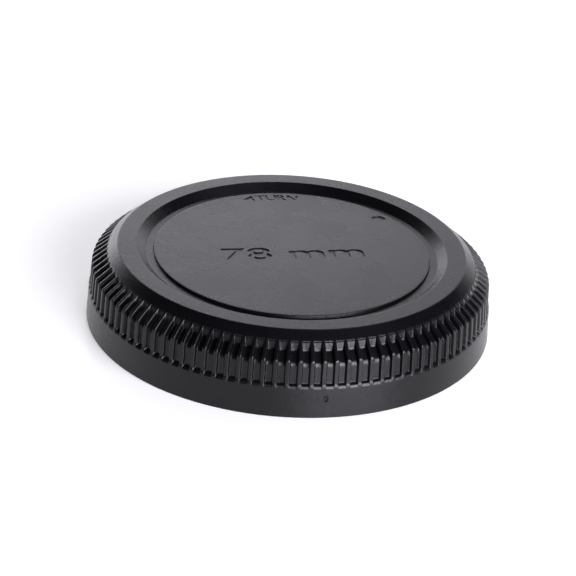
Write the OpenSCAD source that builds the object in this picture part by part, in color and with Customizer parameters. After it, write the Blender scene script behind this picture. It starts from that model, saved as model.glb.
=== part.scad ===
// Push-and-turn cap for a lens mount, moulded in one piece from black plastic.
// It stands on its mouth with the closed top up: +Z runs through the top, and the
// origin is the centre of the mouth, on the surface that the cap stands on.
// Every outline of revolution is a list of [radius, height, corner radius].

/* [Outside] */
// Diameter of the mouth edge, which all other radii follow
cap_d = 78; // [64:0.5:92]
// Height from the mouth to the rim
cap_h = 15.2; // [14.5:0.1:18]
// Draft angle of the skirt
wall_draft = 3; // [1:0.5:5]
// Height of the plain band below the grip
band_h = 6.1; // [4:0.1:7]
// How far the band stands proud of the grip
band_step = 0.2; // [0.1:0.05:0.4]
// Height over which the grip runs out into the band
band_runout = 1; // [0.4:0.1:1.6]
// Slope of the shoulder below the horizontal
shoulder_angle = 39.7; // [35:0.1:44]
// Radius where the skirt turns into the shoulder
shoulder_round = 1.5; // [0.5:0.1:2]

/* [Rim and panel] */
// Width of the shoulder and skirt outside the rim, seen from above
shoulder_w = 5.6; // [4.6:0.1:6.6]
// Width of the flat rim
rim_w = 3.6; // [3:0.1:4]
// Depth of the ring channel below the rim
channel_depth = 1.4; // [1:0.1:1.7]
// Width of the channel's sloped outer wall, seen from above
channel_slope_w = 1.75; // [1:0.05:2.2]
// Width of the channel's flat floor
channel_floor_w = 1.6; // [1:0.05:2]
// Drop from the rim to the centre panel
panel_drop = 0.9; // [0.4:0.1:0.9]

/* [Grip grooves] */
// Number of grooves round the skirt
groove_count = 108; // [90:2:112]
// Direction of the first groove, from +X
groove_angle = 269.4; // [0:0.1:359.9]
// Width of the land between two grooves where they begin
land_w = 0.53; // [0.4:0.01:0.8]
// How much each side wall leans in
groove_side = 0.28; // [0.1:0.02:0.4]
// Depth of a groove in the skirt wall
groove_depth = 0.55; // [0.3:0.05:0.7]
// Depth of a groove in the shoulder
groove_shoulder_depth = 1; // [0.5:0.05:1.1]
// Width of the plain shoulder between the rim and the grooves, seen from above
plain_w = 1.8; // [1:0.1:2.6]
// Steepness of a groove's upper end
groove_end_angle = 76; // [60:1:80]
// Height of the ramp at a groove's foot
groove_ramp_h = 0.45; // [0.3:0.05:0.8]

/* [Marks] */
// Diameter of the index dimple in the panel
dimple_d = 2.75; // [1.5:0.05:4]
// Depth of the index dimple
dimple_depth = 0.3; // [0.1:0.05:0.4]
// Distance of the dimple's middle from the panel's edge
dimple_inset = 2.45; // [2:0.05:8]
// Direction of the dimple, from +X
dimple_angle = 46; // [0:1:359]
// Width of the gate mark on the band
gate_w = 0.85; // [0.5:0.05:1.5]
// Height of the gate mark's middle
gate_z = 3.9; // [2:0.1:4.5]
// Direction of the gate mark, from +X
gate_angle = 281.8; // [0:0.1:359.9]
// Depth of the gate mark
gate_depth = 0.15; // [0.05:0.05:0.3]

/* [Mouth and bayonet] */
// From the mouth's edge in to the hollow: room for the skirt, the pocket and the lug ring
hollow_gap = 6; // [5:0.1:7]
// How far a lug reaches into the hollow
lug_reach = 2; // [1.5:0.1:2.5]
// Thickness of a lug
lug_t = 1.5; // [1:0.1:2]
// Height of a lug above the mouth
lug_z = 1.2; // [1:0.1:2]
// Arc of one lug
lug_arc = 50; // [40:1:55]
// Number of lugs
lug_count = 3; // [2:1:4]
// Direction of the first lug's middle, from +X
lug_angle = 90; // [0:1:359]
// Height of the turning stop above a lug
stop_h = 2.4; // [1:0.1:3]
// Width of the turning stop
stop_w = 1.6; // [1:0.1:2.5]

/* [Walls] */
// Thickness of the skirt at the mouth
skirt_t = 2.1; // [1.8:0.1:2.3]
// Thickness of the top
top_t = 1.8; // [1.4:0.1:2.2]
// Thickness of the ring that carries the lugs
ring_t = 1.5; // [1.2:0.1:1.6]
// How far that ring ends above the mouth
ring_recess = 0.5; // [0.3:0.1:0.8]
// Wall left between the shoulder grooves and the pocket below
shoulder_t = 1.9; // [1.6:0.1:2.3]
// Number of webs that join the ring to the skirt
web_count = 12; // [6:2:18]
// Thickness of a web
web_t = 1.2; // [0.8:0.1:1.6]
// How far the webs end above the mouth
web_recess = 1.5; // [1:0.1:3]

/* [Hidden] */
$fn = 108;
round_steps = 2;
groove_steps = 2;
beyond = 1;
edge_round = 0.3;
stop_back = 0.3;
fine_round = 0.12;
cap_r = cap_d/2;
rim_r = cap_r - shoulder_w;
hollow_r = cap_r - hollow_gap;
lean = tan(wall_draft);
fall = tan(shoulder_angle);
pitch_angle = 360/groove_count;
land_angle = groove_angle + pitch_angle/2;

// Levels of the top
panel_z = cap_h - panel_drop;
channel_z = cap_h - channel_depth;
rim_in_r = rim_r - rim_w;
channel_r = rim_in_r - channel_slope_w;
panel_r = channel_r - channel_floor_w;

// Radius of the band, of the lands between the grooves and of the groove floors
function band_r(z) = cap_r - z*lean;
function land_r(z) = band_r(z) - band_step;
function floor_r(z) = land_r(z) - groove_depth;
// Height of the shoulder, and of the groove floors in it
function shoulder_z(r) = cap_h - (r - rim_r)*fall;
groove_drop = groove_shoulder_depth/cos(shoulder_angle);
function groove_z(r) = shoulder_z(r) - groove_drop;
// Where a wall that leans in from radius base meets a slope that passes z0 at the rim's edge
function meet_r(base, z0) = (base - lean*(z0 + fall*rim_r))/(1 - lean*fall);
break_r = meet_r(cap_r - band_step, cap_h);
floor_break_r = meet_r(cap_r - band_step - groove_depth, cap_h - groove_drop);

// A groove's upper end: a steep line from the shoulder down to the groove's floor, and its width
end_fall = tan(groove_end_angle);
end_r = rim_r + plain_w;
end_foot_r = end_r + groove_drop/(end_fall - fall);
groove_w = 2*PI*end_r/groove_count - land_w;
ramp_z = band_h + groove_ramp_h;
runout_z = band_h - fine_round;
ramp_fall = groove_ramp_h/(band_r(band_h) - floor_r(ramp_z));

// Pocket between the skirt and the lug ring, roofed along the shoulder
ring_out_r = hollow_r + ring_t;
skirt_in_r = cap_r - skirt_t;
pocket_drop = (groove_shoulder_depth + shoulder_t)/cos(shoulder_angle);
pocket_out_r = meet_r(skirt_in_r, cap_h - pocket_drop);

// One corner of an outline, rounded to a radius that both its sides have room for
function unit(v) = v/norm(v);
function corner(before, here, after, steps) =
    let (a = [before[0], before[1]], p = [here[0], here[1]], c = [after[0], after[1]],
         r = here[2], u = unit(a - p), v = unit(c - p), half = acos(u*v)/2,
         middle = p + unit(u + v)*r/sin(half),
         start = p + u*r/tan(half) - middle, end = p + v*r/tan(half) - middle,
         turn = 180 - 2*half)
    r <= 0 ? [p] :
    [for (i = [0:steps])
        middle + (start*sin(turn*(1 - i/steps)) + end*sin(turn*i/steps))/sin(turn)];

function rounded(outline, steps) =
    let (n = len(outline))
    [for (i = [0:n - 1]) each corner(outline[(i + n - 1)%n], outline[i], outline[(i + 1)%n], steps)];

// Section of the cap: down the outside, round the pocket and up into the hollow
module cap_section() {
    under_panel = channel_z - top_t;
    under_rim = cap_h - top_t;
    step_r = channel_r - edge_round;
    polygon(rounded([
        [0, panel_z, 0],
        [panel_r, panel_z, fine_round],
        [panel_r + fine_round, channel_z, fine_round],
        [channel_r, channel_z, edge_round],
        [rim_in_r, cap_h, edge_round],
        [rim_r, cap_h, edge_round],
        [break_r, shoulder_z(break_r), shoulder_round],
        [land_r(runout_z + band_runout), runout_z + band_runout, 0],
        [band_r(runout_z), runout_z, 0],
        [cap_r, 0, edge_round],
        [skirt_in_r, 0, edge_round],
        [pocket_out_r, shoulder_z(pocket_out_r) - pocket_drop, edge_round],
        [ring_out_r, shoulder_z(ring_out_r) - pocket_drop, edge_round],
        [ring_out_r, ring_recess, fine_round],
        [hollow_r, ring_recess, edge_round],
        [hollow_r, under_rim, edge_round],
        [step_r + channel_slope_w, under_rim, edge_round],
        [step_r, under_panel, edge_round],
        [0, under_panel, 0]], round_steps));
}

// Space swept by the groove's floor, its ramp at the foot and its steep upper end
module groove_space() {
    out_r = cap_r + beyond;
    top_r = end_r - beyond/end_fall;
    rotate(land_angle) rotate_extrude() polygon(rounded([
        [out_r, band_h - (out_r - band_r(band_h))*ramp_fall, 0],
        [floor_r(ramp_z), ramp_z, 0],
        [floor_break_r, groove_z(floor_break_r), shoulder_round - groove_depth],
        [end_foot_r, groove_z(end_foot_r), groove_shoulder_depth],
        [top_r, shoulder_z(end_r) + beyond, 0],
        [out_r, shoulder_z(end_r) + beyond, 0]], groove_steps));
}

// Prism with a V section: the groove's width at the surface, leaning in by groove_side at depth
module blade(depth, length) {
    reach = groove_w/2*depth/groove_side;
    flare = groove_w/2 + groove_side*beyond/depth;
    linear_extrude(length) polygon([[-reach, 0], [beyond, -flare], [beyond, flare]]);
}

// One groove's blades: one stands along the skirt, the other lies along the shoulder
module groove_blades() {
    middle_r = land_r(shoulder_z(break_r)/2 + band_h/2);
    translate([middle_r, 0, 0]) blade(groove_depth, cap_h);
    translate([break_r, 0, shoulder_z(break_r)])
        rotate([0, shoulder_angle - 90, 0])
            translate([0, 0, -beyond])
                blade(groove_shoulder_depth, beyond + (break_r - end_r)/cos(shoulder_angle) + beyond);
}

module grip_grooves() {
    intersection() {
        groove_space();
        for (i = [0:groove_count - 1]) rotate(groove_angle + i*pitch_angle) groove_blades();
    }
}

// Index dimple, a shallow piece of a sphere
module dimple() {
    ball_r = (pow(dimple_d/2, 2) + pow(dimple_depth, 2))/(2*dimple_depth);
    rotate(dimple_angle)
        translate([panel_r - dimple_inset, 0, panel_z - dimple_depth + ball_r])
            rotate([90, 0, 0]) sphere(ball_r, $fn = 144);
}

// Gate mark: a drop-shaped recess round the gate's stub
module gate_mark() {
    drop_r = gate_w/2;
    rotate(gate_angle)
        translate([band_r(gate_z) - gate_depth, 0, gate_z])
            rotate([0, 90, 0])
                linear_extrude(beyond)
                    difference() {
                        union() {
                            circle(drop_r, $fn = 32);
                            rotate(135) square(drop_r);
                        }
                        circle(drop_r/2, $fn = 32);
                    }
}

// Flat piece of pie, used to cut one lug out of a ring
module pie(arc, r) {
    half = arc/2;
    polygon([[0, 0], [r, -r*tan(half)], [r, r*tan(half)]]);
}

// Bayonet lugs, chamfered where the mating flange rides up on them, each with its turning stop
module lugs() {
    inner_r = hollow_r - lug_reach;
    root_r = hollow_r + ring_t/2;
    lead = lug_t/3;
    for (i = [0:lug_count - 1])
        rotate(lug_angle + i*360/lug_count) {
            intersection() {
                translate([0, 0, lug_z])
                    rotate_extrude() polygon([[inner_r, 0], [root_r, 0], [root_r, lug_t],
                                              [inner_r + lead, lug_t], [inner_r, lug_t - lead]]);
                translate([0, 0, lug_z]) linear_extrude(lug_t) pie(lug_arc, root_r + beyond);
            }
            rotate(lug_arc/2)
                translate([inner_r + lead, -stop_w - stop_back, lug_z + lug_t/2])
                    cube([root_r - inner_r - lead, stop_w, lug_t/2 + stop_h]);
        }
}

// Webs across the pocket between the lug ring and the skirt
module webs() {
    inside = ring_out_r - ring_t/2;
    outside = skirt_in_r + skirt_t/2 - cap_h*lean/2;
    top = shoulder_z(outside) - pocket_drop;
    for (i = [0:web_count - 1])
        rotate((i + 0.5)*360/web_count)
            translate([inside, -web_t/2, web_recess]) cube([outside - inside, web_t, top - web_recess]);
}

module cap() {
    color("#2b2a2e") difference() {
        union() {
            rotate(land_angle) rotate_extrude() cap_section();
            webs();
            lugs();
        }
        grip_grooves();
        dimple();
        gate_mark();
    }
}

cap();
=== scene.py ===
"""Looks for a push-and-turn lens mount cap, moulded in one piece from black plastic.

The cap is one watertight piece, modelled as by hand: one sector of the grip with its groove is
shaped and copied round, the rest is one revolved section with webs, lugs and engraved marks.
"""

import math  # noqa: E402

import bmesh  # noqa: E402
import bpy  # noqa: E402
from mathutils import Matrix, Vector  # noqa: E402


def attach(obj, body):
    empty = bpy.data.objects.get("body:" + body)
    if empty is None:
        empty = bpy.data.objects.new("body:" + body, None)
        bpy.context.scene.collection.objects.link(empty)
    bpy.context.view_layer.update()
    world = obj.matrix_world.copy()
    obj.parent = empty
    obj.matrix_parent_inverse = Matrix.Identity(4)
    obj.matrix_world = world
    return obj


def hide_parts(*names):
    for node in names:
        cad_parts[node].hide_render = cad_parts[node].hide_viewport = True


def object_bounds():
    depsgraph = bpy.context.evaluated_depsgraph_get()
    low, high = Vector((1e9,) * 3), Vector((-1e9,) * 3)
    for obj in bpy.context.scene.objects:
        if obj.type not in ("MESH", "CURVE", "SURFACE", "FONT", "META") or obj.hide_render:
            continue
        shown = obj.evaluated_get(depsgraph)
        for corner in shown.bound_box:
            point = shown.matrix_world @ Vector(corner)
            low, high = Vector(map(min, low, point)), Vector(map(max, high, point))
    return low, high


bl_info = {
    "name": "Lens mount cap",
    "version": (1, 0, 0),
    "blender": (4, 5, 0),
    "location": "3D View > Sidebar > Cap",
    "description": "Models a moulded push-and-turn cap for a lens mount, with its stage",
    "category": "Object",
}

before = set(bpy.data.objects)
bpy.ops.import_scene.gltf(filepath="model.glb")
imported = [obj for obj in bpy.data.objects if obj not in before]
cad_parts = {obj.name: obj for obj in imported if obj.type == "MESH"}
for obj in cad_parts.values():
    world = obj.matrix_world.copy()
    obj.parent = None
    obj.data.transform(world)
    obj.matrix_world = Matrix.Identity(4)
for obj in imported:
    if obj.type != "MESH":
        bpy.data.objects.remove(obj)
CAD_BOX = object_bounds()
MM = 0.001
ORIGIN = (0.0, 0.0, 0.0)
HEIGHT = (CAD_BOX[1].z - CAD_BOX[0].z) / MM
# The mouth edge is rounded, which takes 0.03 mm off the box
MOUTH = (CAD_BOX[1].x - CAD_BOX[0].x) / MM + 0.03

# Shape constants, in mm and radians

SHOULDER = math.radians(39.7)
DRAFT = math.radians(3.0)
FALL = math.tan(SHOULDER)
LEAN = math.tan(DRAFT)
END_WALL = math.tan(math.radians(76.0))
FIRST_GROOVE = math.radians(269.4)
# The skirt's skin starts to swell out to the band this far above it, over this height
BLEND_TOP = 0.85
FOOT_BLEND = 1.0
# Plain strips above and below the grooves, where the grip joins the rest
STRIP_ABOVE = 0.3
STRIP_BELOW = 0.6
# The landing at a groove's upper end: its step along and into the shoulder, and its length
LANDING_STEP = (0.05, 0.09)
LANDING_LENGTH = 0.22
FLOOR_BREAK_ROUND = 1.5
FIRST_BREAK_ROW = 11
BREAK_ROWS = 6
# Walls
HOLLOW_IN = 6.0
RING_WALL = 1.5
SKIRT_WALL = 2.1
TOP_WALL = 1.8
POCKET_WALL = 1.9
RING_LIFT = 0.5
# Lugs: how far they reach in, their root in the ring, heights, chamfer and half angle
LUG_REACH = 2.0
ROOT = 0.75
LUG_LOW, LUG_HIGH = 1.2, 2.7
LUG_CHAMFER = 0.5
LUG_HALF = math.radians(25)
LUG_MIDDLE = math.radians(90)
LUG_COUNT = 3
# Turning stops: width, place across the lug's end, foot and height
STOP_W = 1.6
STOP_SET = -1.1
STOP_LOW, STOP_H = 1.95, 3.15
# Webs: thickness, foot and how far their outer end stays inside the skirt's face
WEB_COUNT = 12
WEB_W = 1.2
WEB_LOW = 1.5
WEB_IN = 1.8
SOFT_EDGE = 0.2
# The words across the panel: width, height, and the middle of their foot, before they are turned
SIZE_WORDS = (27.4, 5.0, 0.1, -3.1)
SIZE_TURN = math.radians(12.0)
# The small word's letters, from the panel's edge in, and their directions from the back
LETTER_H = 2.3
LETTER_W = {"T": 2.1, "U": 2.1, "R": 2.1, "N": 2.2}
LETTER_IN = 3.3
LETTER_FIRST = math.radians(16.9)
LETTER_STEP = math.radians(5.05)
STROKE = 0.012
ARROW_R = 1.5
ARROW_IN = 2.15
ARROW_AT = math.radians(22.1)
DIMPLE_R = 1.4
DIMPLE_IN = 2.45
DIMPLE_FOOT = 0.08
DIMPLE_AT = math.radians(46.0)
# The gate mark's place, its depth, and its outer and inner drop: width, height and length
GATE_AT = math.radians(281.8)
GATE_Z = 3.95
GATE_DEPTH = 0.35
GATE_DROPS = ((0.85, 1.5, 1.0), (0.34, 0.7, 1.6))

# Finish: pattern sizes in mm, then roughness and gloss

GRAIN = 0.2
STREAK = 1.3
CLOUD = 9
SCUFF = 2.2
EDGE_ROUND = 0.25
BUMP = 0.036
ROUGH = 0.27
# Plain ABS is at 0.5; lowered so that the white floor doesn't wash out the band
SPECULAR = 0.3

# Stage: sizes in metres, directions of the lamps in degrees

CAMERA_TILT = math.radians(27.71)
CAMERA_ROLL = math.radians(4.0)
CAMERA_FAR = 0.4536
CAMERA_LENS = 145.7
CAMERA_SHIFT = (0.0012, 0.0505)
FLOOR_SIZE = 3.0
FLOOR_ROUGH = 0.28
PAPER_GLOW = 0.42
ROOM_LIGHT = 0.02
LAMP_TINT = (0.985, 0.975, 1.06)
# Name, azimuth, elevation, distance, size and brightness. Azimuth 0 is the camera's side
LAMPS = (
    ("softbox_right", 35, 18, 1.0, (0.86, 0.58), 14.0),
    ("softbox_left", -138, 9, 1.0, (0.5, 0.3), 2.3),
    ("softbox_right_low", 120, 10, 1.0, (1.0, 0.3), 0.1),
    ("wall_behind_left", -163, 20, 1.0, (0.6, 0.6), 1.74),
    ("wall_behind_right", 163, 20, 1.0, (0.6, 0.6), 1.12),
    ("softbox_top", 135, 70, 1.0, (0.5, 0.4), 1.2),
)

# Sizes and colours


def length(name, text, value):
    """A length that a user can change, given in millimetres."""
    return bpy.props.FloatProperty(
        name=name, description=text, default=value * MM, min=0.0, unit="LENGTH", precision=4
    )


def colour(name, text, code):
    """A colour that a user can change, given as an sRGB hex code."""
    return bpy.props.FloatVectorProperty(
        name=name, description=text, default=linear(code), size=4, min=0, max=1, subtype="COLOR"
    )


def linear(code):
    """sRGB hex code to a linear colour with alpha."""
    parts = [int(code[i : i + 2], 16) / 255 for i in (1, 3, 5)]
    return [c / 12.92 if c <= 0.04045 else ((c + 0.055) / 1.055) ** 2.4 for c in parts] + [1.0]


class CapSizes(bpy.types.PropertyGroup):
    cap_d: length("Mouth diameter", "Outer diameter of the edge that the cap stands on", MOUTH)
    cap_h: length("Height", "From the mouth to the rim", HEIGHT)
    band_h: length("Band height", "Height of the plain band below the grip", 6.1)
    band_step: length("Band step", "How far the band stands proud of the grip", 0.2)
    shoulder_w: length("Shoulder width", "Shoulder and skirt outside the rim, seen from above", 5.6)
    shoulder_round: length("Shoulder rounding", "Radius where the skirt turns into the shoulder", 0.9)
    rim_w: length("Rim width", "Width of the flat rim", 3.6)
    channel_depth: length("Channel depth", "Depth of the ring channel below the rim", 1.4)
    channel_slope_w: length("Channel slope", "Width of the channel's sloped outer wall", 1.75)
    channel_floor_w: length("Channel floor", "Width of the channel's flat floor", 1.6)
    panel_drop: length("Panel drop", "Drop from the rim to the centre panel", 0.9)
    land_w: length("Land width", "Width of the land between two grooves where they begin", 0.53)
    groove_side: length("Groove draft", "How much each side wall of a groove leans in", 0.2)
    groove_depth: length("Groove depth", "Depth of a groove in the skirt wall", 0.55)
    groove_deep: length("Groove depth above", "Depth of a groove in the shoulder", 1.0)
    plain_w: length("Plain shoulder", "Shoulder between the rim and the grooves", 1.8)
    ramp_h: length("Ramp height", "Height of the ramp at a groove's foot", 0.3)
    lip_h: length("Lip height", "Height of the polished lip between the ramp and the band", 0.42)
    lip_in: length("Lip lean", "How far that lip leans in", 0.2)
    groove_count: bpy.props.IntProperty(
        name="Grooves", description="Number of grooves round the skirt", default=108, min=24, max=180
    )


class CapMarks(bpy.types.PropertyGroup):
    size_words: bpy.props.StringProperty(
        name="Size", description="Words engraved across the panel", default="78 mm"
    )
    turn_word: bpy.props.StringProperty(
        name="Word", description="Small word on an arc beside the arrow head", default="TURN"
    )
    depth: length("Depth", "Depth of the engraved marks", 0.2)


class CapColours(bpy.types.PropertyGroup):
    plastic: colour("Plastic", "Black pigmented moulded plastic", "#09080b")
    plastic_rub: colour("Rubbed plastic", "Plastic where handling has polished it", "#1a191c")
    floor: colour("Floor", "Plain pale floor and backdrop", "#f4f4f5")


def plan():
    """Radii and heights in millimetres, worked out from the sizes as the part's source does."""
    s = bpy.context.scene.cap_sizes
    p = {k: getattr(s, k) / MM for k in CapSizes.__annotations__ if k != "groove_count"}
    p["grooves"] = s.groove_count
    p["cap_r"] = p["cap_d"] / 2
    p["rim_r"] = p["cap_r"] - p["shoulder_w"]
    p["panel_z"] = p["cap_h"] - p["panel_drop"]
    p["channel_z"] = p["cap_h"] - p["channel_depth"]
    p["rim_in_r"] = p["rim_r"] - p["rim_w"]
    p["channel_r"] = p["rim_in_r"] - p["channel_slope_w"]
    p["panel_r"] = p["channel_r"] - p["channel_floor_w"]
    p["hollow_r"] = p["cap_r"] - HOLLOW_IN
    p["end_r"] = p["rim_r"] + p["plain_w"]
    p["drop"] = p["groove_deep"] / math.cos(SHOULDER)
    p["pocket_drop"] = (p["groove_deep"] + POCKET_WALL) / math.cos(SHOULDER)
    return p


# Modelling helpers


def rounded(outline, steps):
    """An open outline of (x, y, radius) rows, each corner turned into an arc of so many steps."""
    out = []
    for i, (x, y, r) in enumerate(outline):
        here = Vector((x, y))
        if r <= 0 or i in (0, len(outline) - 1):
            out.append(here)
            continue
        u = (Vector(outline[i - 1][:2]) - here).normalized()
        v = (Vector(outline[i + 1][:2]) - here).normalized()
        half = u.angle(v) / 2
        middle = here + (u + v).normalized() * r / math.sin(half)
        start = here + u * r / math.tan(half) - middle
        end = here + v * r / math.tan(half) - middle
        turn = math.pi - 2 * half
        n = steps[i] if isinstance(steps, list) else steps
        for k in range(n + 1):
            t = k / n
            out.append(
                middle + (start * math.sin(turn * (1 - t)) + end * math.sin(turn * t)) / math.sin(turn)
            )
    return out


def pick(obj):
    """Only this object is selected and active."""
    bpy.ops.object.select_all(action="DESELECT")
    obj.select_set(True)
    bpy.context.view_layer.objects.active = obj


def edit(obj, mode="VERT"):
    pick(obj)
    bpy.ops.object.mode_set(mode="EDIT")
    bpy.ops.mesh.select_mode(type=mode)


def object_mode():
    bpy.ops.object.mode_set(mode="OBJECT")


def choose(obj, kind, test):
    """In edit mode, selects the vertices, edges or faces that the test holds for, and counts them."""
    bpy.ops.mesh.select_all(action="DESELECT")
    mesh = bmesh.from_edit_mesh(obj.data)
    found = [e for e in getattr(mesh, kind) if test(e)]
    for e in found:
        e.select_set(True)
    bmesh.update_edit_mesh(obj.data, loop_triangles=False, destructive=False)
    return len(found)


def drawn(name, points, angle=0.0, closed=False):
    """A section drawn as a poly curve of (radius, height) points in millimetres, made a mesh."""
    curve = bpy.data.curves.new(name, "CURVE")
    curve.dimensions = "3D"
    spline = curve.splines.new("POLY")
    spline.points.add(len(points) - 1)
    for knot, (r, z) in zip(spline.points, points):
        knot.co = (r * MM * math.cos(angle), r * MM * math.sin(angle), z * MM, 1)
    spline.use_cyclic_u = closed
    obj = bpy.data.objects.new(name, curve)
    bpy.context.scene.collection.objects.link(obj)
    pick(obj)
    bpy.ops.object.convert(target="MESH")
    return bpy.context.view_layer.objects.active


def turned(obj, angle):
    """The object turned about the cap's axis, with the turn applied to its mesh."""
    pick(obj)
    obj.rotation_euler = (0, 0, angle)
    bpy.ops.object.transform_apply(location=False, rotation=True, scale=False)
    return obj


def joined(objs, name):
    bpy.ops.object.select_all(action="DESELECT")
    for o in objs:
        o.select_set(True)
    bpy.context.view_layer.objects.active = objs[0]
    if len(objs) > 1:
        bpy.ops.object.join()
    obj = bpy.context.view_layer.objects.active
    obj.name = name
    return obj


def copied(obj, angle):
    """A copy with its own mesh, turned about the cap's axis."""
    pick(obj)
    bpy.ops.object.duplicate(linked=False)
    return turned(bpy.context.view_layer.objects.active, angle)


def boolean(obj, tool, operation):
    """Joins or cuts with another solid, which is then gone."""
    pick(obj)
    m = obj.modifiers.new(operation.title(), "BOOLEAN")
    m.operation = operation
    m.object = tool
    m.solver = "EXACT"
    bpy.ops.object.modifier_apply(modifier=m.name)
    bpy.data.objects.remove(tool)
    return obj


def tidy_mesh(obj, gap=2e-6):
    edit(obj)
    bpy.ops.mesh.select_all(action="SELECT")
    bpy.ops.mesh.remove_doubles(threshold=gap)
    bpy.ops.mesh.normals_make_consistent(inside=False)
    object_mode()
    return obj


def radial(v):
    return math.hypot(v.x, v.y) / MM


# The cap's surfaces, in mm


def shoulder_z(p, r):
    return p["cap_h"] - (r - p["rim_r"]) * FALL


def band_r(p, z):
    return p["cap_r"] - z * LEAN


def skin_r(p, z):
    """Radius of the skirt between the grooves: the grip blends softly into the band."""
    t = min(max((p["band_h"] + BLEND_TOP - z) / FOOT_BLEND, 0.0), 1.0)
    return band_r(p, z) - p["band_step"] * (1 - t * t * (3 - 2 * t))


def meet_r(base, z0, p):
    """Where a wall that leans in from radius base meets a slope that passes z0 at the rim's edge."""
    return (base - LEAN * (z0 + FALL * p["rim_r"])) / (1 - LEAN * FALL)


def strip_ends(p):
    """The plain rings above and below the grooves where the grip joins the rest."""
    top = p["end_r"] - STRIP_ABOVE
    low = p["band_h"] - STRIP_BELOW
    return (top, shoulder_z(p, top)), (band_r(p, low), low)


def groove_rows(p):
    """Pairs of points down a groove: one on the cap's skin, one on the groove's floor below it."""
    top, bottom = strip_ends(p)
    foot_r = p["end_r"] + p["drop"] / (END_WALL - FALL)
    foot_z = shoulder_z(p, foot_r) - p["drop"]
    wall = p["cap_r"] - p["band_step"]
    break_r = meet_r(wall - p["groove_depth"], p["cap_h"] - p["drop"], p)
    lip_z = p["band_h"] + p["lip_h"] / 2
    ramp_z = lip_z + p["ramp_h"]
    slope = Vector((math.cos(SHOULDER), -math.sin(SHOULDER)))
    inward = Vector((-math.sin(SHOULDER), -math.cos(SHOULDER)))
    above = Vector(top)
    start = Vector((p["end_r"], shoulder_z(p, p["end_r"])))
    step = start + slope * LANDING_STEP[0] + inward * LANDING_STEP[1]
    ledge = step + slope * LANDING_LENGTH
    floor = rounded(
        [
            (top[0], top[1], 0),
            (p["end_r"], shoulder_z(p, p["end_r"]), 0.05),
            (step.x, step.y, 0.0),
            (ledge.x, ledge.y, 0.12),
            (foot_r, foot_z, 0.8),
            (break_r, shoulder_z(p, break_r) - p["drop"], FLOOR_BREAK_ROUND),
            (wall - p["groove_depth"] - ramp_z * LEAN, ramp_z, 0.2),
            (band_r(p, lip_z) - p["lip_in"], lip_z, 0.12),
            (band_r(p, lip_z - p["lip_h"]), lip_z - p["lip_h"], 0.2),
            (bottom[0], bottom[1], 0),
        ],
        [0, 1, 0, 2, 3, 5, 2, 2, 2, 0],
    )
    skin_break = meet_r(wall, p["cap_h"], p)
    skin = rounded(
        [
            (top[0], top[1], 0),
            (skin_break, shoulder_z(p, skin_break), p["shoulder_round"]),
            (wall - ramp_z * LEAN, ramp_z, 0),
        ],
        BREAK_ROWS - 1,
    )[1 : 1 + BREAK_ROWS]
    pairs = []
    for i, f in enumerate(floor):
        if i < FIRST_BREAK_ROW:
            s = above + slope * (f - above).dot(slope)
        elif i < FIRST_BREAK_ROW + BREAK_ROWS:
            s = skin[i - FIRST_BREAK_ROW]
        else:
            s = Vector((max(skin_r(p, f.y), f.x), f.y))
        pairs.append((s, f))
    return pairs


def groove_columns(p):
    """Half of a groove's cross-section: half widths at the skin and at depth, share of the depth."""
    width = 2 * math.pi * p["end_r"] / p["grooves"] - p["land_w"]
    w, d = width / 2, p["groove_depth"]
    corners = [(w + 0.25, 0, 0), (w, 0, 0.14), (w - p["groove_side"], -d, 0.12), (0, -d, 0)]
    side = rounded(corners, 3)[1:-1]
    n = len(side)
    flat = [side[0].x - (side[0].x - side[-1].x) * 0.55 * i / (n - 1) for i in range(n)]
    return [(flat[i], side[i].x, -side[i].y / d) for i in range(n)]


# Operators


def grip_sector(p):
    """One sector of the grip round +X: the plain skin, with the groove pressed in row by row."""
    rows, columns = groove_rows(p), groove_columns(p)
    half = math.pi / p["grooves"]
    obj = drawn("grip_sector", [(s.x, s.y) for s, _ in rows], -half)
    edit(obj)
    bpy.ops.mesh.select_all(action="SELECT")
    bpy.ops.mesh.spin(steps=2, angle=2 * half, center=ORIGIN, axis=(0, 0, 1))
    mesh = bmesh.from_edit_mesh(obj.data)
    middle = sum((v.co.y for v in mesh.verts), 0.0) / len(mesh.verts)
    object_mode()
    if abs(middle) > 0.2 * MM:
        turned(obj, 2 * half)
    edit(obj, "FACE")
    low, high = rows[-2][0].y * MM, rows[1][0].y * MM
    for y, _, _ in columns:
        for sign in (-1, 1):
            choose(obj, "faces", lambda f: low - 1e-6 < f.calc_center_median().z < high + 1e-6)
            bpy.ops.mesh.bisect(plane_co=(0, sign * y * MM, 0), plane_no=(0, 1, 0), threshold=1e-7)
    bpy.ops.mesh.select_mode(type="VERT")
    break_z = rows[FIRST_BREAK_ROW + 2][0].y
    for s, f in rows[1:-1]:
        depth = f - s
        full = p["groove_deep"] if s.y > break_z else p["groove_depth"]
        t = min(1.0, depth.length / full)
        for y, deep_y, share in columns + [(0.0, 0.0, 1.0)]:
            choose(
                obj,
                "verts",
                lambda v: abs(abs(v.co.y) - y * MM) < 2e-6 and abs(v.co.z - s.y * MM) < 2e-6
                and abs(radial(v.co) - s.x) < 0.03,
            )
            move = depth * share * MM
            if move.length > 1e-8:
                bpy.ops.transform.translate(value=(move.x, 0, move.y))
            if y:
                k = 1 + (deep_y / y - 1) * t
                bpy.ops.transform.resize(value=(1, k, 1), center_override=ORIGIN)
    object_mode()
    return obj


def grip(p):
    """All the sectors of the grip, as copies of one."""
    obj = turned(grip_sector(p), FIRST_GROOVE)
    n = p["grooves"]
    edit(obj)
    bpy.ops.mesh.select_all(action="SELECT")
    bpy.ops.mesh.spin(
        steps=n - 1, angle=2 * math.pi * (n - 1) / n, center=ORIGIN, axis=(0, 0, 1), dupli=True
    )
    object_mode()
    return tidy_mesh(obj)


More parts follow.
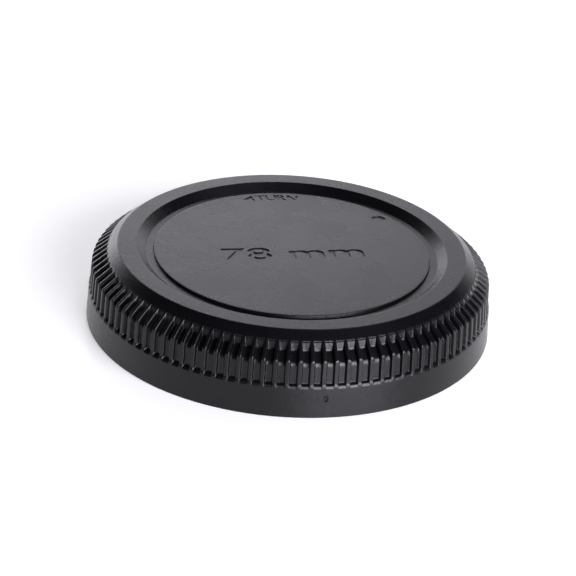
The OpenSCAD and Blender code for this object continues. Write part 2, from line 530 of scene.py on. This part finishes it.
def core(p):
    """The revolved section without the grip, closed by a plain cone where the grip goes."""
    top, bottom = strip_ends(p)
    ring_out = p["hollow_r"] + RING_WALL
    skirt_in = p["cap_r"] - SKIRT_WALL
    pocket_r = meet_r(skirt_in, p["cap_h"] - p["pocket_drop"], p)
    under_panel, under_rim = p["channel_z"] - TOP_WALL, p["cap_h"] - TOP_WALL
    step_r = p["channel_r"] - 0.3
    outline = rounded(
        [
            (p["panel_r"] - 0.5, p["panel_z"], 0),
            (p["panel_r"], p["panel_z"], 0.12),
            (p["panel_r"] + 0.12, p["channel_z"], 0.1),
            (p["channel_r"], p["channel_z"], 0.35),
            (p["rim_in_r"], p["cap_h"], 0.25),
            (p["rim_r"], p["cap_h"], 0.5),
            (top[0], top[1], 0),
            (bottom[0], bottom[1], 0),
            (p["cap_r"], 0, 0.3),
            (skirt_in, 0, 0.3),
            (pocket_r, shoulder_z(p, pocket_r) - p["pocket_drop"], 0.3),
            (ring_out, shoulder_z(p, ring_out) - p["pocket_drop"], 0.3),
            (ring_out, RING_LIFT, 0.12),
            (p["hollow_r"], RING_LIFT, 0.3),
            (p["hollow_r"], under_rim, 0.3),
            (step_r + p["channel_slope_w"], under_rim, 0.3),
            (step_r, under_panel, 0.3),
            (step_r - 2, under_panel, 0),
        ],
        3,
    )
    obj = drawn("cap_shell", outline, FIRST_GROOVE)
    edit(obj)
    bpy.ops.mesh.select_all(action="SELECT")
    bpy.ops.mesh.spin(steps=2 * p["grooves"], angle=2 * math.pi, center=ORIGIN, axis=(0, 0, 1))
    bpy.ops.mesh.select_all(action="SELECT")
    bpy.ops.mesh.remove_doubles(threshold=2e-6)
    for r, z in (outline[0], outline[-1]):
        choose(obj, "verts", lambda v: abs(radial(v.co) - r) < 0.01 and abs(v.co.z - z * MM) < 1e-6)
        bpy.ops.mesh.edge_face_add()
    object_mode()
    return tidy_mesh(obj)


def block(size, place):
    """A box of a size at a place, both in millimetres."""
    bpy.ops.object.select_all(action="DESELECT")
    bpy.ops.mesh.primitive_cube_add(size=1, location=ORIGIN)
    obj = bpy.context.view_layer.objects.active
    obj.scale = [x * MM for x in size]
    obj.location = [x * MM for x in place]
    bpy.ops.object.transform_apply(location=True, rotation=False, scale=True)
    return obj


def softened(obj, test):
    """The edges that the test holds for, bevelled round."""
    edit(obj, "EDGE")
    choose(obj, "edges", test)
    bpy.ops.mesh.bevel(offset=SOFT_EDGE * MM, segments=2, affect="EDGES")
    object_mode()
    return obj


def bayonet_lugs(p):
    """The lugs round the hollow, each with the stop at one end that ends the turn."""
    inner, root = p["hollow_r"] - LUG_REACH, p["hollow_r"] + ROOT
    cut = inner + LUG_CHAMFER
    low, high = LUG_LOW, LUG_HIGH
    section = [(inner, low), (root, low), (root, high), (cut, high), (inner, high - LUG_CHAMFER)]
    lug = drawn("lug", section, LUG_MIDDLE - LUG_HALF, closed=True)
    edit(lug)
    bpy.ops.mesh.select_all(action="SELECT")
    bpy.ops.mesh.edge_face_add()
    bpy.ops.mesh.spin(steps=30, angle=2 * LUG_HALF, center=ORIGIN, axis=(0, 0, 1))
    object_mode()
    tidy_mesh(lug)
    corners = lug.data.vertices
    centre = sum((math.atan2(v.co.y, v.co.x) for v in corners), 0.0) / len(corners)
    if abs(centre - LUG_MIDDLE) > 0.1:
        turned(lug, 2 * LUG_HALF)
    stop = block(
        (root - inner - LUG_CHAMFER, STOP_W, STOP_H),
        ((root + inner + LUG_CHAMFER) / 2, STOP_SET, STOP_LOW + STOP_H / 2),
    )
    softened(
        stop,
        lambda e: min(radial(v.co) for v in e.verts) < inner + 1
        and min(v.co.z for v in e.verts) > 2.5 * MM,
    )
    turned(stop, LUG_MIDDLE + LUG_HALF)
    boolean(lug, stop, "UNION")
    apart = 2 * math.pi / LUG_COUNT
    return joined([lug] + [copied(lug, apart * i) for i in range(1, LUG_COUNT)], "lugs")


def pocket_webs(p):
    """The thin webs that brace the skirt against the ring."""
    inside, outside = p["hollow_r"] + ROOT, p["cap_r"] - WEB_IN
    top = shoulder_z(p, outside) - p["pocket_drop"]
    web = block(
        (outside - inside, WEB_W, top - WEB_LOW),
        ((outside + inside) / 2, 0, (top + WEB_LOW) / 2),
    )
    softened(
        web,
        lambda e: max(v.co.z for v in e.verts) < 2 * MM
        and abs(e.verts[0].co.y - e.verts[1].co.y) < 1e-6,
    )
    apart = 2 * math.pi / WEB_COUNT
    turned(web, apart / 2)
    return joined([web] + [copied(web, apart * i) for i in range(1, WEB_COUNT)], "webs")


def lettering(words, width, height, depth):
    """Words as a closed solid of a set size in millimetres, standing on the X axis."""
    bpy.ops.object.select_all(action="DESELECT")
    bpy.ops.object.text_add(location=ORIGIN)
    obj = bpy.context.view_layer.objects.active
    obj.data.body = words
    obj.data.extrude = 0.5
    obj.data.offset = STROKE
    obj.data.resolution_u = 4
    bpy.ops.object.convert(target="MESH")
    obj = tidy_mesh(bpy.context.view_layer.objects.active, 1e-4)
    low, high = Vector(obj.bound_box[0]), Vector(obj.bound_box[6])
    k = [size * MM / span for size, span in zip((width, height, 2 * depth), high - low)]
    obj.scale = k
    obj.location = (-(low.x + high.x) / 2 * k[0], -low.y * k[1], 0)
    bpy.ops.object.transform_apply(location=True, rotation=False, scale=True)
    return obj


def laid(obj, x, y, z, angle):
    """A solid moved on the panel and then turned about the cap's axis."""
    pick(obj)
    obj.location = (x * MM, y * MM, z * MM)
    bpy.ops.object.transform_apply(location=True, rotation=False, scale=False)
    return turned(obj, angle)


def marks(p):
    """Solids that leave the engraved size, the small word on its arc and the arrow head."""
    m = bpy.context.scene.cap_marks
    depth, z = m.depth / MM, p["panel_z"]
    size = lettering(m.size_words, SIZE_WORDS[0], SIZE_WORDS[1], depth)
    solids = [laid(size, SIZE_WORDS[2], SIZE_WORDS[3], z, SIZE_TURN)]
    for i, letter in enumerate(m.turn_word):
        width = LETTER_W.get(letter, LETTER_H)
        solid = lettering(letter, width, LETTER_H, depth)
        solids.append(laid(solid, 0, p["panel_r"] - LETTER_IN, z, LETTER_FIRST - i * LETTER_STEP))
    bpy.ops.object.select_all(action="DESELECT")
    bpy.ops.mesh.primitive_cylinder_add(
        vertices=3,
        radius=ARROW_R * MM,
        depth=2 * depth * MM,
        location=ORIGIN,
        rotation=(0, 0, math.pi / 2),
    )
    arrow = bpy.context.view_layer.objects.active
    bpy.ops.object.transform_apply(location=False, rotation=True, scale=False)
    solids.append(laid(arrow, 0, p["panel_r"] - ARROW_IN, z, ARROW_AT))
    return solids


def gate_mark(p):
    """A drop-shaped ring on the band, left where the gate was cut off."""
    solids = []
    for width, height, reach in GATE_DROPS:
        bpy.ops.object.select_all(action="DESELECT")
        bpy.ops.mesh.primitive_cylinder_add(
            vertices=32, radius=0.5, depth=1.0, location=ORIGIN, rotation=(0, math.pi / 2, 0)
        )
        drop = bpy.context.view_layer.objects.active
        bpy.ops.object.transform_apply(location=False, rotation=True, scale=False)
        drop.scale = (reach * MM, width * MM, height * MM)
        drop.location = ((band_r(p, GATE_Z) + 0.5 - GATE_DEPTH) * MM, 0, GATE_Z * MM)
        bpy.ops.object.transform_apply(location=True, rotation=False, scale=True)
        solids.append(turned(drop, GATE_AT))
    return boolean(solids[0], solids[1], "DIFFERENCE")


def dimple(p):
    """A low round plug that leaves the flat-bottomed index dimple."""
    depth = bpy.context.scene.cap_marks.depth
    bpy.ops.object.select_all(action="DESELECT")
    bpy.ops.mesh.primitive_cylinder_add(
        vertices=72, radius=DIMPLE_R * MM, depth=2 * depth, location=ORIGIN
    )
    plug = bpy.context.view_layer.objects.active
    edit(plug, "EDGE")
    choose(plug, "edges", lambda e: max(v.co.z for v in e.verts) < 0)
    bpy.ops.mesh.bevel(offset=DIMPLE_FOOT * MM, segments=2, affect="EDGES")
    object_mode()
    return laid(plug, p["panel_r"] - DIMPLE_IN, 0, p["panel_z"], DIMPLE_AT)


class CAP_OT_shell(bpy.types.Operator):
    """Models the moulded cap with its grip, lugs, webs and marks"""

    bl_idname = "cap.shell"
    bl_label = "Moulded shell"

    def execute(self, context):
        p = plan()
        shell = core(p)
        lugs = bayonet_lugs(p)
        webs = pocket_webs(p)
        for mark in marks(p) + [dimple(p), gate_mark(p)]:
            boolean(shell, mark, "DIFFERENCE")
        boolean(shell, lugs, "UNION")
        boolean(shell, webs, "UNION")
        top, bottom = strip_ends(p)
        between = ((top[0] + bottom[0]) / 2, (top[1] + bottom[1]) / 2)
        edit(shell, "FACE")
        cut = choose(
            shell,
            "faces",
            lambda f: abs(radial(f.calc_center_median()) - between[0]) < 0.1
            and abs(f.calc_center_median().z / MM - between[1]) < 0.1,
        )
        if cut != 2 * p["grooves"]:
            raise RuntimeError(f"the cone under the grip has {cut} faces")
        bpy.ops.mesh.delete(type="FACE")
        object_mode()
        shell = joined([shell, grip(p)], "cap_shell")
        tidy_mesh(shell)
        finish_surface(shell)
        shell.data.materials.clear()
        shell.data.materials.append(moulded_plastic())
        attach(shell, "root")
        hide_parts("cap")
        return {"FINISHED"}


def finish_surface(obj):
    """Smooth faces with crisp edges, and flat faces that stay flat."""
    pick(obj)
    bpy.ops.object.shade_smooth_by_angle(angle=math.radians(38))
    m = obj.modifiers.new("Flat faces first", "WEIGHTED_NORMAL")
    m.keep_sharp = True
    m.weight = 60
    bpy.ops.object.modifier_apply(modifier=m.name)


# Materials


def node(tree, kind, settings=None, links=None):
    """Adds a node, sets its own settings and its sockets' values, and links its inputs."""
    made = tree.nodes.new(kind)
    for key, value in (settings or {}).items():
        if isinstance(key, str) and hasattr(made, key):
            setattr(made, key, value)
        else:
            made.inputs[key].default_value = value
    for key, socket in (links or {}).items():
        tree.links.new(socket, made.inputs[key])
    return made


def noise(tree, place, size, detail, roughness=0.5):
    """A noise whose features are about so many millimetres."""
    settings = {"Scale": 1 / (size * MM), "Detail": detail, "Roughness": roughness}
    return node(tree, "ShaderNodeTexNoise", settings, {"Vector": place})


def scaled_sum(tree, value, share, rest):
    """A share of one value added to another."""
    settings = {"operation": "MULTIPLY_ADD", 1: share}
    return node(tree, "ShaderNodeMath", settings, {0: value, 2: rest})


def new_material(name):
    material = bpy.data.materials.new(name)
    material.use_nodes = True
    material.node_tree.nodes.clear()
    return material, material.node_tree


def moulded_plastic():
    """Black ABS, injection moulded in a spark-eroded tool: a satin skin that mirrors softly.

    The flow of the melt leaves faint streaks up the skirt, and handling polishes the proud edges.
    """
    c = bpy.context.scene.cap_colours
    material, tree = new_material("black_abs_spark_eroded")
    place = node(tree, "ShaderNodeTexCoord").outputs["Object"]

    # Spark-eroded grain is about 0.05 mm; drawn at GRAIN, the finest that the render shows
    grain = noise(tree, place, GRAIN, 2.0)
    # Melt flow: streaks a millimetre wide that run along the axis
    along = node(tree, "ShaderNodeMapping", {"Scale": (1.0, 1.0, 0.06)}, {"Vector": place})
    flow = noise(tree, along.outputs[0], STREAK, 3.0)
    # Clouds of slightly duller skin, a centimetre across, where the melt cooled unevenly
    cloud = noise(tree, place, CLOUD, 4.0)

    # Handling: specks and short scuffs of polished plastic
    scuff = noise(tree, place, SCUFF, 6.0, 0.7)
    scuffed = node(
        tree,
        "ShaderNodeMapRange",
        {"From Min": 0.58, "From Max": 0.72, "To Min": 0.0, "To Max": 1.0},
        {"Value": scuff.outputs["Fac"]},
    )
    # Proud edges are found where the rounded normal leaves the true one
    near = node(tree, "ShaderNodeBevel", {"samples": 4, "Radius": EDGE_ROUND * MM})
    true = node(tree, "ShaderNodeNewGeometry")
    turn = node(
        tree,
        "ShaderNodeVectorMath",
        {"operation": "DOT_PRODUCT"},
        {0: near.outputs["Normal"], 1: true.outputs["Normal"]},
    )
    edge = node(
        tree,
        "ShaderNodeMapRange",
        {"From Min": 0.99, "From Max": 0.9, "To Min": 0.0, "To Max": 1.0},
        {"Value": turn.outputs["Value"]},
    )
    worn = scaled_sum(tree, scuffed.outputs[0], 0.08, edge.outputs[0])
    rubbed = node(tree, "ShaderNodeClamp", None, {"Value": worn.outputs[0]})

    base = node(
        tree,
        "ShaderNodeMix",
        {"data_type": "RGBA", 6: list(c.plastic), 7: list(c.plastic_rub)},
        {0: rubbed.outputs[0]},
    )
    dull = node(
        tree,
        "ShaderNodeMapRange",
        {"From Min": 0.3, "From Max": 0.7, "To Min": ROUGH - 0.03, "To Max": ROUGH + 0.03},
        {"Value": cloud.outputs["Fac"]},
    )
    polish = scaled_sum(tree, rubbed.outputs[0], -0.05, dull.outputs[0])
    streak = scaled_sum(tree, flow.outputs["Fac"], 0.3, grain.outputs["Fac"])
    bump = node(
        tree,
        "ShaderNodeBump",
        {"Strength": 1.0, "Distance": BUMP * MM},
        {"Height": streak.outputs[0]},
    )
    shader = node(
        tree,
        "ShaderNodeBsdfPrincipled",
        {"IOR": 1.5, "Specular IOR Level": SPECULAR},
        {"Base Color": base.outputs[2], "Roughness": polish.outputs[0], "Normal": bump.outputs["Normal"]},
    )
    node(tree, "ShaderNodeOutputMaterial", None, {"Surface": shader.outputs["BSDF"]})
    return material


# Stage


class CAP_OT_stage(bpy.types.Operator):
    """Sets the floor, the backdrop, the soft light and the camera"""

    bl_idname = "cap.stage"
    bl_label = "Stage, light and camera"

    def execute(self, context):
        make_camera()
        make_floor()
        make_light()
        context.scene.view_settings.view_transform = "Standard"
        return {"FINISHED"}


def make_camera():
    """The photograph's view: 27.7 degrees above the table, rolled 4 degrees, 45 cm away."""
    data = bpy.data.cameras.new("camera")
    obj = bpy.data.objects.new("camera", data)
    bpy.context.scene.collection.objects.link(obj)
    up = Matrix.Rotation(math.pi / 2 - CAMERA_TILT, 4, "X")
    obj.matrix_world = up @ Matrix.Rotation(CAMERA_ROLL, 4, "Z")
    obj.location = (0, -CAMERA_FAR * math.cos(CAMERA_TILT), CAMERA_FAR * math.sin(CAMERA_TILT))
    data.sensor_width = 36
    data.lens = CAMERA_LENS
    data.shift_x, data.shift_y = CAMERA_SHIFT
    data.clip_start, data.clip_end = 0.01, 20
    bpy.context.scene.camera = obj


def make_floor():
    """A sheet of pale seamless paper that the cap stands on."""
    bpy.ops.object.select_all(action="DESELECT")
    bpy.ops.mesh.primitive_plane_add(size=FLOOR_SIZE, location=ORIGIN)
    floor = bpy.context.view_layer.objects.active
    floor.name = "floor"
    edit(floor, "EDGE")
    choose(floor, "edges", lambda e: min(v.co.y for v in e.verts) > 1.0)
    bpy.ops.mesh.extrude_region_move(TRANSFORM_OT_translate={"value": (0, 0.4, 0.15)})
    bpy.ops.mesh.extrude_region_move(TRANSFORM_OT_translate={"value": (0, 0.2, 0.6)})
    object_mode()
    material, tree = new_material("pale_seamless_paper")
    c = bpy.context.scene.cap_colours
    path = node(tree, "ShaderNodeLightPath").outputs
    # The glow is for the camera and for mirrored and refracted rays alike, so all show one floor
    mirrored = node(
        tree,
        "ShaderNodeMath",
        {"operation": "ADD", "use_clamp": True},
        {0: path["Is Glossy Ray"], 1: path["Is Transmission Ray"]},
    )
    shown = node(
        tree,
        "ShaderNodeMath",
        {"operation": "ADD", "use_clamp": True},
        {0: path["Is Camera Ray"], 1: mirrored.outputs[0]},
    )
    settings = {"operation": "MULTIPLY", 1: PAPER_GLOW}
    glow = node(tree, "ShaderNodeMath", settings, {0: shown.outputs[0]})
    shader = node(
        tree,
        "ShaderNodeBsdfPrincipled",
        {"Base Color": list(c.floor), "Roughness": FLOOR_ROUGH},
    )
    white = node(tree, "ShaderNodeEmission", None, {"Strength": glow.outputs[0]})
    both = node(tree, "ShaderNodeAddShader", None, {0: shader.outputs["BSDF"], 1: white.outputs[0]})
    node(tree, "ShaderNodeOutputMaterial", None, {"Surface": both.outputs[0]})
    floor.data.materials.append(material)


def softbox(name, azimuth, elevation, far, size, brightness):
    """A soft lamp that faces the cap. Azimuth 0 is the camera's side, 90 is the right."""
    a, e = math.radians(azimuth), math.radians(elevation)
    away = Vector((math.sin(a) * math.cos(e), -math.cos(a) * math.cos(e), math.sin(e)))
    data = bpy.data.lights.new(name, "AREA")
    data.shape = "RECTANGLE"
    data.size, data.size_y = size
    data.energy = brightness * math.pi * size[0] * size[1]
    data.color = LAMP_TINT
    obj = bpy.data.objects.new(name, data)
    bpy.context.scene.collection.objects.link(obj)
    obj.location = away * far
    obj.rotation_euler = away.to_track_quat("Z", "Y").to_euler()
    return obj


def make_light():
    """A dim room, two walls of soft light behind, a softbox on each side and one above."""
    world = bpy.data.worlds.new("studio")
    bpy.context.scene.world = world
    world.use_nodes = True
    background = world.node_tree.nodes["Background"].inputs
    background["Color"].default_value = (1, 1, 1, 1)
    background["Strength"].default_value = ROOM_LIGHT
    for lamp in LAMPS:
        softbox(*lamp)


class CAP_PT_panel(bpy.types.Panel):
    """Lists the cap's operators and sizes"""

    bl_idname = "CAP_PT_panel"
    bl_label = "Lens mount cap"
    bl_space_type = "VIEW_3D"
    bl_region_type = "UI"
    bl_category = "Cap"

    def draw(self, context):
        for cls in OPERATORS:
            self.layout.operator(cls.bl_idname)
        scene = context.scene
        for group in (scene.cap_sizes, scene.cap_marks, scene.cap_colours):
            for key in type(group).__annotations__:
                self.layout.prop(group, key)


OPERATORS = (CAP_OT_shell, CAP_OT_stage)
CLASSES = (CapSizes, CapMarks, CapColours) + OPERATORS + (CAP_PT_panel,)


def register():
    for cls in CLASSES:
        bpy.utils.register_class(cls)
    bpy.types.Scene.cap_sizes = bpy.props.PointerProperty(type=CapSizes)
    bpy.types.Scene.cap_marks = bpy.props.PointerProperty(type=CapMarks)
    bpy.types.Scene.cap_colours = bpy.props.PointerProperty(type=CapColours)


def unregister():
    del bpy.types.Scene.cap_colours
    del bpy.types.Scene.cap_marks
    del bpy.types.Scene.cap_sizes
    for cls in reversed(CLASSES):
        bpy.utils.unregister_class(cls)


def main():
    register()
    bpy.ops.cap.stage()
    bpy.ops.cap.shell()


if __name__ == "__main__":
    main()
